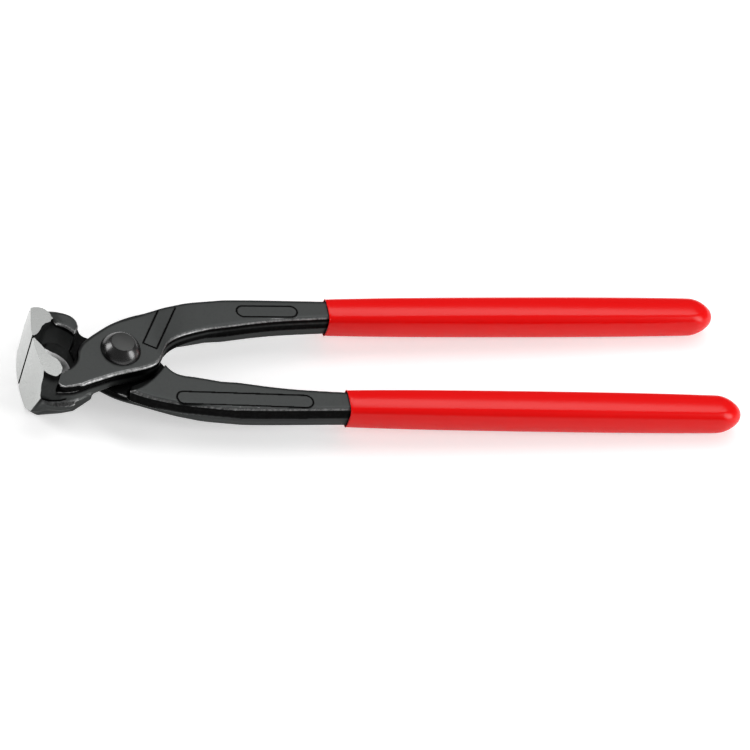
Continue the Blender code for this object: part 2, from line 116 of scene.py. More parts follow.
# Corners of the web that carries the near jaw's heel on to its joint plate
WEB = (
    (-28.6, -12.1, -12.4), (-26.5, -13.1, -12.4), (-23.6, -12.5, -12.4), (-26.0, -15.2, -9.0),
    (-24.2, -14.9, -9.2), (-27.0, -17.1, -3.0), (-26.5, -17.4, -1.0), (-19.5, -17.4, -1.6),
    (-19.3, -15.7, -7.0), (-19.0, -13.3, -11.2), (-19.0, -11.3, -12.2), (-19.0, -11.5, -2.0),
    (-16.8, -16.7, -0.5), (-16.0, -14.9, -7.0), (-15.4, -12.2, -10.4), (-15.6, -14.4, -8.6),
    (-12.4, -13.2, -6.4), (-12.9, -15.0, -4.0), (-10.6, -13.8, -2.8), (-10.9, -14.9, -1.6),
    (-10.6, -13.8, 1.0), (-11.5, -15.0, 1.0), (-17.0, -16.5, 1.0), (-17.0, -12.0, 1.0),
)

# Outlines of the two ends of a jaw, out past its ground faces, and a point inside each
FINGER_CENTRE = (-27.3, -10.5)
FINGER_OUTLINE = [
    (-33.0, 1.4), (-30.2, -1.4), (-29.0, -3.2), (-27.5, -6.6), (-25.9, -8.4), (-24.5, -9.5),
    (-23.6, -11.2), (-23.2, -13.4), (-23.8, -15.3), (-26.0, -16.9), (-28.2, -15.9), (-29.8, -14.2),
    (-32.0, -13.0),
]
BUTT_CENTRE = (-28.2, -8.5)
BUTT_OUTLINE = [
    (-33.0, 1.4), (-30.2, -0.4), (-28.5, -2.6), (-27.4, -4.7), (-26.0, -5.9), (-24.3, -6.4),
    (-23.5, -8.0), (-24.0, -10.2), (-25.5, -11.9), (-27.6, -12.7), (-29.4, -12.6), (-31.5, -11.6),
]

# The share of the ground steel's colour that each ground face shows: painted light and shade, for how brightly
# each face is lit
GROUND_LIGHT_SHARES = (("front", 1.0), ("finger", 0.52), ("butt", 0.46))

# Where the skin of a lever changes, with its painted shade and the painted highlight on its rims, in the same
# millimetres and mostly from one place to another
NEAR_SIDE = (5.0, 7.0)  # across, from the middle to the near side
JAW_ROOT = (-24.5, -21.0)  # along, from the jaw to the joint plate
PLATE_END = (6.0, 10.0)  # along, from the upper plate to its handle
PLATE_SHADE = (2.2, 3.4)  # level, from the plate's grey flank up to its flank painted near black as shade
JAW_SHADE = ((0.5, 2.0), (8.0, 11.0))  # levels, over each of which half of the painted shade comes on
LOWER_FLANK = ((-14.0, -12.0), (8.0, 14.0))  # along, at its two ends
LOWER_SHADE = ((-11.0, 2.0, 14.0), (-5.2, -4.6, 0.0))  # along, and the levels above which it is painted near black as shade
LEDGE = ((-24.4, -13.0), 5.8)  # along, and its level
LEDGE_SHADE = (2.6, 3.4)
MATING = (0.6, -25.0)  # across and along, within which the faces meet and are painted near black as shade between the levers
BEARING = 0.7  # level, within which the two plates run on each other and their flat faces are painted near black as shade
HANDLE_ROOT = (2.0, 12.0)
LOWER_SHOULDER = ((-16.0, -12.0), (-3.0, 1.0))
UPPER_HEEL = (5.3, -8.0)  # level and along, under and ahead of which the painted highlight on the rims is mostly taken out
LOWER_HEEL = (7.0, -6.0)
LIP_HIGHLIGHT = ((-0.4, 0.2), (1.0, 1.8))  # levels, of the painted highlight on the lip under the near jaw's crease
LIP_HIGHLIGHT_END = -16.0
LIP_HIGHLIGHT_BEND = 175.0  # that it counts for, in radians a metre
SHARPEST_BEND = 2000.0
STEEP = (0.75, 0.5)  # the normals' upward part, from a flat to a flank
SHADE_RISE = (0.0, 0.07)
RIM_HIGHLIGHT_SLOPES = ((0.32, 0.52), (0.95, 0.988))
SHORTEST_EDGE = 0.05 * MM
LINE_REACH = 0.62  # of an engraved line's black, in line widths
QUIET_REACH = 1.4  # where the painted highlight on the rims may come back

# The rivet's sizes in metres
RIVET_FLAT = 3.9 * MM  # radius of the flat on a head
RIVET_HEIGHT = 4.0 * MM
RIVET_SHANK = 4.8 * MM
RIVET_RIM = 0.12 * MM
RIVET_STEPS = 12

# The grips' sizes in metres
GRIP_BORE = (4.9 * MM, 4.8 * MM)  # half width and half height
GRIP_NOSE = 9.0 * MM
GRIP_MIDDLE = (19.9, 21.9)  # millimetres off the centre line, at the mouth and the end
GRIP_CORNERS = (2.4, 3.4)  # radius in millimetres, at the mouth and further on
GRIP_CORNER_REACH = 60 * MM
GRIP_CROWN = 2.2  # radius of the sleeve's sides, in half widths
GRIP_WALLS = ((0.0, 0.5), (0.05, 0.6), (0.2, 0.82), (0.45, 0.98), (0.7, 1.0), (0.88, 0.91), (1.0, 0.78))
GRIP_BODY_STEPS = 12
GRIP_NOSE_STEPS = 15
GRIP_POINTS = 56  # round a section
GRIP_TIP = 0.15 * MM
TANG_STOP = 12 * MM  # from the end of a grip to the bottom of its bore
BORE_CORNER = 1.5 * MM
BORE_CROWN = 200.0  # all but flat

# The stage
HEEL = 23.6 * MM  # from the rivet's axis forward to where the pliers lie on the floor
LAMP_CENTRE = PIVOT * 0.3
LAMP_DISTANCE = 1.3
OVERHEAD_LAMP = ("overhead_softbox", "RECTANGLE", (0.306, 0.36, 0.88), (1.2, 0.46))
SIDE_LAMPS = (
    ("left_softbox", "ELLIPSE", (-0.886, 0.332, 0.325), (0.6, 1.1)),
    ("right_softbox", "ELLIPSE", (0.78, -0.45, 0.44), (0.6, 1.1)),
)
MOUTH_SHADE = PIVOT + Vector((-17 * MM, 9.5 * MM, -12.75 * MM))  # where the mouth shows the floor
MOUTH_SHADE_RADIUS = 3 * MM
MOUTH_SHADE_SOFTNESS = 120.0  # how fast the floor's glow comes back, for each metre

# The camera, as it stood to the pliers when the photograph was taken
VIEW_ELEVATION = math.radians(47.633)
VIEW_AZIMUTH = math.radians(-27.015)
VIEW_ROLL = math.radians(20.971)
VIEW_DISTANCE = 1.57808
VIEW_SHIFT = Vector((-0.086233, 0.00452))
VIEW_FOCUS_PIXELS = 4724.66
PICTURE_PIXELS = 750

# The sockets of a Mix node that blends colours
MIX_FACTOR = 0
MIX_FIRST = 6
MIX_SECOND = 7
MIX_RESULT = 2


def select_only(thing):
    """Leaves object mode and selects one object."""
    if bpy.context.object and bpy.context.object.mode != "OBJECT":
        bpy.ops.object.mode_set(mode="OBJECT")
    bpy.ops.object.select_all(action="DESELECT")
    thing.select_set(True)
    bpy.context.view_layer.objects.active = thing


def remove(thing):
    """Deletes an object and its mesh."""
    mesh = thing.data
    bpy.data.objects.remove(thing, do_unlink=True)
    if mesh.users == 0:
        bpy.data.meshes.remove(mesh)


def edit(thing, action="DESELECT"):
    """Enters edit mode with nothing or all of it selected."""
    select_only(thing)
    bpy.ops.object.mode_set(mode="EDIT")
    bpy.ops.mesh.select_mode(type="VERT")
    bpy.ops.mesh.select_all(action=action)
    return bmesh.from_edit_mesh(thing.data)


def added(add, **settings):
    """Adds a primitive on its own and gives it back."""
    bpy.ops.object.select_all(action="DESELECT")
    add(**settings)
    return bpy.context.object


def disc(points, radius, place, fill_type="NGON", **settings):
    """A flat ring of points, filled or not, with its place in its mesh."""
    settings.update(vertices=points, radius=radius, location=place, fill_type=fill_type)
    return at_rest(added(bpy.ops.mesh.primitive_circle_add, **settings))


def face_out():
    """Turns every face of the mesh in edit mode outwards and leaves edit mode."""
    bpy.ops.mesh.select_all(action="SELECT")
    bpy.ops.mesh.normals_make_consistent(inside=False)
    bpy.ops.object.mode_set(mode="OBJECT")


def apply_modifier(thing, kind, **settings):
    """Adds a modifier to a piece and applies it."""
    select_only(thing)
    modifier = thing.modifiers.new(kind.lower(), kind)
    for name, value in settings.items():
        setattr(modifier, name, value)
    bpy.ops.object.modifier_apply(modifier=modifier.name)


def cut(thing, cutter, operation="DIFFERENCE"):
    """Takes a cutter out of a piece, or joins it on, and deletes the cutter."""
    apply_modifier(thing, "BOOLEAN", object=cutter, operation=operation, solver="MANIFOLD")
    remove(cutter)


def box(low, high):
    """A block between two corners, as a cutter."""
    low, high = Vector(low), Vector(high)
    made = added(bpy.ops.mesh.primitive_cube_add, size=1, location=(low + high) / 2)
    made.scale = high - low
    return at_rest(made)


def at_rest(thing):
    """Puts a finished piece's place into its mesh."""
    select_only(thing)
    bpy.ops.object.transform_apply(location=True, rotation=True, scale=True)
    return thing


class Wire:
    """One output of a material's tree. Sums with it add Math nodes."""

    def __init__(self, finish, socket):
        self.finish = finish
        self.socket = socket

    def sum(self, operation, first, second, clamp=False):
        settings = {"operation": operation, "use_clamp": clamp}
        return self.finish.node("ShaderNodeMath", settings, {0: first, 1: second})

    def __add__(self, other):
        return self.sum("ADD", self, other)

    __radd__ = __add__

    def __sub__(self, other):
        return self.sum("SUBTRACT", self, other)

    def __rsub__(self, other):
        return self.sum("SUBTRACT", other, self)

    def __mul__(self, other):
        return self.sum("MULTIPLY", self, other)

    __rmul__ = __mul__

    def clamped(self):
        return self.sum("MULTIPLY", self, 1.0, clamp=True)


class Finish:
    """A material whose nodes are added one by one."""

    def __init__(self, name):
        self.material = bpy.data.materials.new(name)
        self.material.use_nodes = True
        self.tree = self.material.node_tree
        self.tree.nodes.clear()
        self.place = self.node("ShaderNodeTexCoord", output="Object")

    def node(self, kind, settings=None, values=None, output=0):
        """Adds a node with its settings and the values or links of its sockets."""
        made = self.tree.nodes.new(kind)
        for name, value in (settings or {}).items():
            setattr(made, name, value)
        for socket, value in (values or {}).items():
            if isinstance(value, Wire):
                self.tree.links.new(value.socket, made.inputs[socket])
            else:
                made.inputs[socket].default_value = value
        return Wire(self, made.outputs[output]) if made.outputs else None

    def attribute(self, name):
        return self.node("ShaderNodeAttribute", {"attribute_name": name}, output="Fac")

    def noise(self, scale, detail, roughness=0.55, squeeze=None):
        """Noise on Object coordinates, which may be finer along some of the axes."""
        place = self.place
        if squeeze:
            place = self.node("ShaderNodeMapping", values={"Vector": place, "Scale": squeeze})
        values = {"Vector": place, "Scale": scale, "Detail": detail, "Roughness": roughness}
        return self.node("ShaderNodeTexNoise", values=values)

    def blend(self, share, first, second):
        """A colour between two colours."""
        values = {MIX_FACTOR: share, MIX_FIRST: first, MIX_SECOND: second}
        return self.node("ShaderNodeMix", {"data_type": "RGBA"}, values, MIX_RESULT)

    def bump(self, height, distance, strength):
        values = {"Height": height, "Distance": distance, "Strength": strength}
        return self.node("ShaderNodeBump", values=values)

    def surface(self, values):
        """Ends the material with a Principled shader."""
        shader = self.node("ShaderNodeBsdfPrincipled", values=values)
        self.node("ShaderNodeOutputMaterial", values={"Surface": shader})
        return self.material

    def ray(self, kind):
        """Whether the light that is followed is of one kind."""
        return self.node("ShaderNodeLightPath", output=kind)


class PliersSteel(bpy.types.PropertyGroup):
    flat_colour: FloatVectorProperty(
        name="Flat colour", description="Phosphated steel on the flats and lower flanks of the levers",
        subtype="COLOR", size=4, default=(0.062, 0.065, 0.064, 1),
    )
    # Painted shade: the near black that stands for shade on the upper flanks and in sheltered places
    painted_shade_colour: FloatVectorProperty(
        name="Black colour", description="Oily black steel on the upper flanks",
        subtype="COLOR", size=4, default=(0.004, 0.004, 0.004, 1),
    )
    # Painted highlight: the light colour that stands for light caught on the rounded edges
    rim_highlight_colour: FloatVectorProperty(
        name="Rim colour", description="Rubbed steel on the rounded edges",
        subtype="COLOR", size=4, default=(0.38, 0.38, 0.38, 1),
    )
    ground_colour: FloatVectorProperty(
        name="Ground colour", description="Bright steel on the ground faces of the jaws",
        subtype="COLOR", size=4, default=(0.53, 0.54, 0.53, 1),
    )
    voxel: FloatProperty(
        name="Grain of the forging", description="Width of a face of the forged skin",
        unit="LENGTH", default=0.28 * MM,
    )
    stock: FloatProperty(
        name="Grinding stock",
        description="Steel over the ground faces before they are ground",
        unit="LENGTH", default=1.2 * MM,
    )
    smoothing: IntProperty(
        name="Smoothing", description="Passes that round the forged edges", default=5,
    )
    front_radius: FloatProperty(
        name="Front radius", description="Radius to which the front of the jaws is ground",
        unit="LENGTH", default=60 * MM,
    )
    line_width: FloatProperty(
        name="Line width", description="Width of the engraved frames' lines",
        unit="LENGTH", default=0.5 * MM,
    )


class PliersRivet(bpy.types.PropertyGroup):
    colour: FloatVectorProperty(
        name="Colour", description="Blackened steel of the rivet",
        subtype="COLOR", size=4, default=(0.004, 0.004, 0.004, 1),
    )
    flat_colour: FloatVectorProperty(
        name="Flat colour", description="Rubbed steel on the flats of the rivet",
        subtype="COLOR", size=4, default=(0.055, 0.056, 0.055, 1),
    )
    steps: IntProperty(name="Steps", description="Faces round the rivet", default=128)


class PliersGrip(bpy.types.PropertyGroup):
    colour: FloatVectorProperty(
        name="Colour", description="Dipped plastic of the grips",
        subtype="COLOR", size=4, default=(0.93, 0.002, 0.002, 1),
    )
    wall: FloatProperty(
        name="Wall", description="Plastic over the flats of the steel, where it is thickest",
        unit="LENGTH", default=1.4 * MM,
    )
    lip: FloatProperty(
        name="Lip rounding", description="Rounding of the mouth of a grip",
        unit="LENGTH", default=0.35 * MM,
    )


class PliersStage(bpy.types.PropertyGroup):
    floor_size: FloatProperty(
        name="Floor size", description="Width of the floor",
        unit="LENGTH", default=7.0,
    )
    floor_colour: FloatVectorProperty(
        name="Floor colour", description="Colour of the matt floor",
        subtype="COLOR", size=4, default=(0.82, 0.82, 0.82, 1),
    )
    floor_glow: FloatProperty(
        name="Floor glow", description="The floor's own light, which the camera and gloss see",
        default=0.46,
    )
    strip_power: FloatProperty(
        name="Overhead light", description="Power of the long softbox overhead",
        unit="POWER", default=6.0,
    )
    side_power: FloatProperty(
        name="Side light", description="Power of each of the two softboxes at the sides",
        unit="POWER", default=9.6,
    )
    sky: FloatProperty(
        name="Sky", description="Strength of the white surroundings", default=0.2,
    )


def ready(piece, node):
    """Hands a finished piece to the frame in the place of its CAD node."""
    bodies = frame["record"]["behaviour"]["bodies"]
    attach(piece, next(body for body, nodes in bodies.items() if node in nodes))
    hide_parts(node)


def forging_from(node, name):
    """The skin of a CAD lever as one closed mesh."""
    made = bpy.data.objects.new(name, frame["nodes"][node].data.copy())
    bpy.context.scene.collection.objects.link(made)
    made.data.materials.clear()
    edit(made, "SELECT")
    bpy.ops.mesh.remove_doubles(threshold=MERGE_DISTANCE)
    bpy.ops.mesh.customdata_custom_splitnormals_clear()
    bpy.ops.object.mode_set(mode="OBJECT")
    return made


def add_stock(made, stock):
    """Moves the ground faces out, so that they can be ground again after the smoothing."""
    low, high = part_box("upper_lever")
    front_limit = PIVOT.x - 0.75 * (PIVOT.x - low.x)
    tolerance = 0.02 * MM
    mating_limit = 0.25 * MM

    def on_level(level):
        return lambda face: all(abs(vert.co.z - level) < tolerance for vert in face.verts)

    def on_front(face):
        upright = abs(face.normal.z) < 0.05
        return upright and face.normal.x < -0.8 and face.calc_center_median().x < front_limit

    def on_mating(face):
        return all(abs(vert.co.y) < mating_limit for vert in face.verts) and face.normal.y > 0.9

    moves = (
        (on_level(high.z), (0, 0, stock)),
        (on_level(low.z), (0, 0, -stock)),
        (on_front, (-stock, 0, 0)),
        (on_mating, (0, stock, 0)),
    )
    for chosen, move in moves:
        shape = edit(made)
        bpy.ops.mesh.select_mode(type="FACE")
        for face in shape.faces:
            face.select = chosen(face)
        bmesh.update_edit_mesh(made.data)
        bpy.ops.transform.translate(value=move)
        bpy.ops.object.mode_set(mode="OBJECT")


def front_wheel(radius, low, high):
    """What is ahead of the front of the jaws: a block with a round hollow."""
    reach = 40 * MM
    made = box((low.x - reach, -reach, low.z - reach), (low.x + reach / 2, reach, high.z + reach))
    place = (low.x + radius, 0, (low.z + high.z) / 2)
    add = bpy.ops.mesh.primitive_cylinder_add
    hollow = added(add, vertices=FRONT_STEPS, radius=radius, depth=3 * reach, location=place)
    cut(made, hollow)
    return made


def grind(made, steel):
    """Grinds the ends, the meeting faces, the cutting edge and the front of a jaw."""
    low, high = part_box("upper_lever")
    far = 30 * MM
    front, under, over = low.x - far, low.z - far, high.z + far
    back = PIVOT.x - WHEEL_BACK
    cut(made, box((front, -far, high.z), (back, far, over)))
    cut(made, box((front, -far, under), (back, far, low.z)))
    cut(made, box((front, -EDGE_GAP, under), (PIVOT.x - MATING_BACK, far, over)))
    relief = EDGE_GAP + EDGE_RELIEF
    cut(made, box((front, -relief, under), (low.x + EDGE_RELIEF_DEPTH, far, over)))
    cut(made, front_wheel(steel.front_radius, low, high))


def vectors(items, name):
    """One vector of each item, as rows."""
    found = np.empty(len(items) * 3)
    items.foreach_get(name, found)
    return found.reshape(-1, 3)


def outline_reach(outline, centre, angles):
    """How far a closed outline lies from a point inside it, in each direction."""
    points = np.array(outline + outline[:1]) * MM - np.array(centre) * MM
    steps = np.linspace(0, 1, 12, endpoint=False)[:, None]
    dense = np.concatenate([a + (b - a) * steps for a, b in zip(points[:-1], points[1:])])
    turns = np.arctan2(dense[:, 1], dense[:, 0])
    order = np.argsort(turns)
    return np.interp(angles, turns[order], np.hypot(*dense.T)[order], period=2 * math.pi)


def shape_lobe(made, outline, centre, side):
    """Draws one end of the forged jaw out to its outline, fading along the jaw."""
    mesh = made.data
    low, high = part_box("upper_lever")
    level = high.z if side > 0 else low.z
    places = vectors(mesh.vertices, "co")
    flat = places[:, :2] - (PIVOT.x + centre[0] * MM, PIVOT.y + centre[1] * MM)
    turn = np.arctan2(flat[:, 1], flat[:, 0])
    reach = np.hypot(flat[:, 0], flat[:, 1])
    depth = (level - places[:, 2]) * side
    jaw = places[:, 0] < PIVOT.x - JAW_BACK
    bins = ((turn / (2 * math.pi) + 0.5) * LOBE_STEPS).astype(int) % LOBE_STEPS
    ring = jaw & (np.abs(depth) < LOBE_RING)
    total = np.bincount(bins[ring], reach[ring], LOBE_STEPS)
    found = np.bincount(bins[ring], minlength=LOBE_STEPS)
    angles = ((np.arange(LOBE_STEPS) + 0.5) / LOBE_STEPS - 0.5) * 2 * math.pi
    known = found > 0
    now = np.interp(angles, angles[known], (total[known] / found[known]), period=2 * math.pi)
    move = np.clip(outline_reach(outline, centre, angles) - now, -LOBE_LIMIT, LOBE_LIMIT)
    for _ in range(2):
        move = (np.roll(move, 1) + 2 * move + np.roll(move, -1)) / 4
    fade = np.cos(np.clip(depth / LOBE_DEPTH, 0, 1) * math.pi / 2) ** 2
    near = np.clip(2 - reach / np.interp(turn, angles, now, period=2 * math.pi), 0, 1)
    amount = np.interp(turn, angles, move, period=2 * math.pi) * fade * jaw * (near > 0.5)
    away = flat / np.maximum(reach, 1e-9)[:, None]
    places[:, :2] += away * amount[:, None]
    mesh.vertices.foreach_set("co", places.ravel())
    mesh.update()


def facet(origin, facing, reach):
    """A block whose one face lies on a plane, as a cutter for what is beyond it."""
    made = added(bpy.ops.mesh.primitive_cube_add, size=1)
    facing = Vector(facing).normalized()
    made.scale = (reach, reach, reach / 2)
    made.rotation_euler = facing.to_track_quat("Z", "Y").to_euler()
    made.location = PIVOT + Vector(origin) * MM + facing * reach / 4
    return at_rest(made)


def plan_block(outline, low, high):
    """A block with an outline in plan, between two levels over the parting plane, as a cutter."""
    made = disc(len(outline), 1 * MM, PIVOT + Vector((0, 0, low)))
    shape = edit(made)
    for vert, (x, y) in zip(shape.verts, outline):
        vert.co.x = PIVOT.x + x * MM
        vert.co.y = PIVOT.y + y * MM
    bmesh.update_edit_mesh(made.data)
    bpy.ops.mesh.select_all(action="SELECT")
    bpy.ops.mesh.extrude_region_move(TRANSFORM_OT_translate={"value": (0, 0, high - low)})
    face_out()
    return made


def groove_tube(points, radius, closed):
    """A round bar along a line, as a cutter for an engraved line."""
    curve = bpy.data.curves.new("groove", "CURVE")
    curve.dimensions = "3D"
    curve.bevel_depth = radius
    curve.bevel_resolution = 3
    curve.use_fill_caps = True
    spline = curve.splines.new("POLY")
    spline.points.add(len(points) - 1)
    for point, place in zip(spline.points, points):
        point.co = (*place, 1)
    spline.use_cyclic_u = closed
    made = bpy.data.objects.new("groove", curve)
    bpy.context.scene.collection.objects.link(made)
    select_only(made)
    bpy.ops.object.convert(target="MESH")
    made = bpy.context.object
    edit(made, "SELECT")
    bpy.ops.mesh.remove_doubles(threshold=MERGE_DISTANCE)
    face_out()
    return made


def obround(start, end, half):
    """Points round a long frame with round ends, between two places on a handle's flat."""
    start, end = Vector(start), Vector(end)
    along = (end - start).normalized()
    points = []
    for centre, first in ((end - along * half, -90), (start + along * half, 90)):
        for index in range(ROUND_END_STEPS + 1):
            turn = math.radians(first + 180 * index / ROUND_END_STEPS) + math.atan2(along.y, along.x)
            points.append(centre + Vector((math.cos(turn), math.sin(turn))) * half)
    return points


def laid_on(made, points, side):
    """The places of a line on a lever's upper or lower flat, where there is one."""
    found = []
    far = 40 * MM
    for point in points:
        start = PIVOT + Vector((point[0] * MM, point[1] * MM, side * far))
        hit, place, facing, _ = made.ray_cast(start, (0, 0, -side))
        if hit and abs(facing.z) > 0.9 and (place.z - PIVOT.z) * side > FLAT_LIMIT:
            found.append(Vector(place))
    return found


def dense_line(points, closed, step=0.15 * MM):
    """Places close together along a line."""
    found = []
    for start, end in zip(points, points[1:] + points[:1] if closed else points[1:]):
        count = max(int((end - start).length / step), 1)
        found.extend(start.lerp(end, index / count) for index in range(count + 1))
    return found


def crease_line(made):
    """The forging's crease under the jaw's outer flank, laid on its skin."""
    points = []
    for along, level in CREASE:
        start = PIVOT + Vector((along * MM, -40 * MM, level * MM))
        hit, place, _, _ = made.ray_cast(start, (0, 1, 0))
        if not hit:
            raise RuntimeError("the crease missed the jaw")
        points.append(Vector(place))
    return points


def web_block():
    """A many-sided block round the corners of the web."""
    made = disc(len(WEB), 1 * MM, PIVOT, fill_type="NOTHING")
    shape = edit(made)
    for vert, corner in zip(list(shape.verts), WEB):
        vert.co = PIVOT + Vector(corner) * MM
    bmesh.update_edit_mesh(made.data)
    bpy.ops.mesh.select_all(action="SELECT")
    bpy.ops.mesh.convex_hull()
    face_out()
    return made


def forged(name, steel, webbed):
    """A forging as it leaves the hammer and the grinding wheels, lying as the upper lever does."""
    made = forging_from("upper_lever", name)
    add_stock(made, steel.stock)
    cut(made, plan_block(RECESS, RECESS_LEVEL, CUT_TOP))
    cut(made, plan_block(CORNER, CORNER_LEVEL, CUT_TOP))
    if webbed:
        cut(made, web_block(), "UNION")
    apply_modifier(made, "REMESH", mode="VOXEL", voxel_size=steel.voxel)
    apply_modifier(made, "SMOOTH", factor=0.5, iterations=steel.smoothing)
    shape_lobe(made, FINGER_OUTLINE, FINGER_CENTRE, 1)
    if not webbed:
        shape_lobe(made, BUTT_OUTLINE, BUTT_CENTRE, -1)
    grind(made, steel)
    cut(made, facet(*FRONT_FACET))
    return made


def engraved(made, steel):
    """Cuts the frames and the crease into a forging, and gives back their places."""
    short = obround(*SHORT_FRAME)
    long = [(point.x, -point.y) for point in obround(*LONG_FRAME)]
    corners = [Vector(corner) * MM for corner in TAG_FRAME]
    tag = [point / MM for point in dense_line(corners, False, TAG_STEP)]
    lines = [
        (laid_on(made, short, 1), True),
        (laid_on(made, long, -1), True),
        (laid_on(made, tag, 1), False),
        (crease_line(made), False),
    ]
    for points, closed in lines:
        cut(made, groove_tube(points, steel.line_width / 2, closed))
    return [place for points, closed in lines for place in dense_line(points, closed)]


class PLIERS_OT_levers(bpy.types.Operator):
    """Forge, grind and engrave the two levers"""

    bl_idname = "pliers.levers"
    bl_label = "Levers"

    def execute(self, context):
        steel = context.scene.pliers_steel
        finishes = [black_steel(steel)]
        for name, share in GROUND_LIGHT_SHARES:
            finishes.append(ground_steel("ground_steel_" + name, steel, share))
        turn = Matrix.Translation(PIVOT) @ Matrix.Rotation(math.pi, 4, "X") @ Matrix.Translation(-PIVOT)
        for node, upper in (("upper_lever", True), ("lower_lever", False)):
            made = forged(node + "_forging", steel, upper)
            lines = engraved(made, steel)
            made.data.materials.clear()
            for finish in finishes:
                made.data.materials.append(finish)
            mark_ground(made, steel.front_radius)
            if not upper:
                made.matrix_world = turn
                at_rest(made)
                lines = [turn @ place for place in lines]
                cut(made, plan_block(ROOT_RELIEF, *ROOT_RELIEF_LEVELS))
            mark_skin(made, lines, steel.line_width, upper)
            select_only(made)
            bpy.ops.object.shade_smooth_by_angle(angle=SHARP_LEVER)
            ready(made, node)
        return {"FINISHED"}


def mark_ground(made, radius):
    """Gives the ground faces their bright steel, in the order of GROUND_LIGHT_SHARES."""
    low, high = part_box("upper_lever")

    def on_front(place):
        return abs(math.hypot(place.x - low.x - radius, place.y) - radius) < 5 * GROUND_TOLERANCE

    def on_finger(place):
        return abs(place.z - high.z) < GROUND_TOLERANCE

    def on_butt(place):
        return abs(place.z - low.z) < GROUND_TOLERANCE

    for face in made.data.polygons:
        if face.center.x > low.x + GROUND_REACH:
            continue
        places = [made.data.vertices[index].co for index in face.vertices]
        for index, ground in enumerate((on_front, on_finger, on_butt)):
            if all(ground(place) for place in places):
                face.material_index = index + 1
                break


def smooth_step(values, start, end):
    """From 0 at the start to 1 at the end."""
    share = np.clip((values - start) / (end - start), 0, 1)
    return share * share * (3 - 2 * share)


class Skin:
    """A mesh's points: where they are, which way they face and how edges join them."""

    def __init__(self, mesh):
        self.places = vectors(mesh.vertices, "co")
        self.normals = vectors(mesh.vertex_normals, "vector")
        self.count = len(self.places)
        self.along, self.across, self.level = ((self.places - np.array(PIVOT)) / MM).T
        edges = np.empty(len(mesh.edges) * 2, dtype=np.int64)
        mesh.edges.foreach_get("vertices", edges)
        self.start, self.end = edges.reshape(-1, 2).T
        starts = np.bincount(self.start, minlength=self.count)
        self.links = starts + np.bincount(self.end, minlength=self.count)
        self.near = smooth_step(-self.across, *NEAR_SIDE)
        self.mating = (np.abs(self.across) < MATING[0]) & (self.along < MATING[1])

    def gather(self, at_start, at_end):
        """The sum at each point of what its edges bring."""
        total = np.bincount(self.start, at_start, self.count)
        return total + np.bincount(self.end, at_end, self.count)

    def spread(self, values):
        """Values averaged with those of the next points."""
        total = self.gather(values[self.end], values[self.start])
        return (values + total) / (1 + self.links)

    def bend(self):
        """How the skin bends at each point, in radians a metre, and more than 0 where it bulges."""
        span = self.places[self.end] - self.places[self.start]
        length = np.maximum(np.linalg.norm(span, axis=1), SHORTEST_EDGE)
        bend = ((self.normals[self.end] - self.normals[self.start]) * span).sum(axis=1) / length ** 2
        mean = self.gather(bend, bend) / np.maximum(self.links, 1)
        return np.clip(mean, -SHARPEST_BEND, SHARPEST_BEND)


def painted_shade_share(skin, rise, upper):
    """How much painted shade, in near black, each point of a lever takes."""
    steep = smooth_step(rise, *STEEP)
    black = smooth_step(rise, *SHADE_RISE) * steep
    behind_jaw = smooth_step(skin.along, *JAW_ROOT)
    if upper:
        plate_flank = skin.near * behind_jaw * (1 - smooth_step(skin.along, *PLATE_END))
        plate_oil = plate_flank * steep * smooth_step(skin.level, *PLATE_SHADE)
        black = black * (1 - plate_flank) + plate_oil
        jaw_flank = skin.near * (1 - behind_jaw) * steep
        shade = sum(0.5 * smooth_step(skin.level, *levels) for levels in JAW_SHADE)
        black = black * (1 - jaw_flank) + jaw_flank * shade
    else:
        flank = skin.near * smooth_step(skin.along, *LOWER_FLANK[0])
        flank = flank * (1 - smooth_step(skin.along, *LOWER_FLANK[1]))
        height = skin.level - np.interp(skin.along, *LOWER_SHADE)
        black = np.maximum(black, flank * smooth_step(height, -0.5, 0.5) * steep)
    bearing = (np.abs(skin.level) < BEARING) & (np.abs(skin.normals[:, 2]) > 0.8)
    black = np.maximum(black, bearing)
    if upper:
        (ledge_front, ledge_back), ledge_top = LEDGE
        ledge = skin.near * (skin.along > ledge_front) * (skin.along < ledge_back) * (skin.level < ledge_top)
        black = np.maximum(black, ledge * smooth_step(skin.level, *LEDGE_SHADE))
    return np.maximum(skin.spread(black), skin.mating)


def painted_rim_highlight(skin, rim_highlight, rise, upper):
    """The painted highlight on the rims, strongest where they face the near side, and weakened where they are
    sheltered or meet the other lever.
    """
    slope = np.abs(rise)
    rim_highlight = rim_highlight * smooth_step(slope, *RIM_HIGHLIGHT_SLOPES[0]) * (1 - smooth_step(slope, *RIM_HIGHLIGHT_SLOPES[1]))
    rim_highlight *= 0.3 + 0.7 * smooth_step(-skin.normals[:, 1], -0.1, 0.3)
    rim_highlight *= 1 - skin.mating
    rim_highlight *= 1 - 0.4 * smooth_step(skin.along, *HANDLE_ROOT)
    if upper:
        return rim_highlight * (1 - 0.7 * (skin.level < UPPER_HEEL[0]) * (skin.along < UPPER_HEEL[1]))
    front, back = LOWER_SHOULDER
    rim_highlight *= 1 - skin.near * (1 - smooth_step(skin.along, *back)) * smooth_step(skin.along, *front)
    return rim_highlight * (1 - 0.8 * (skin.level < LOWER_HEEL[0]) * (skin.along < LOWER_HEEL[1]))


def by_lines(places, engraved, line_width):
    """Which points are in an engraved line, and which are clear of all the lines."""
    tree = kdtree.KDTree(len(engraved))
    for index, place in enumerate(engraved):
        tree.insert(place, index)
    tree.balance()
    line = np.zeros(len(places))
    clear = np.ones(len(places))
    low = np.min(engraved, axis=0) - line_width
    high = np.max(engraved, axis=0) + line_width
    inside = np.all((places > low) & (places < high), axis=1)
    for index in np.nonzero(inside)[0]:
        off = tree.find(places[index])[2]
        if off < LINE_REACH * line_width:
            line[index] = 1
        if off < QUIET_REACH * line_width:
            clear[index] = 0
    return line, clear


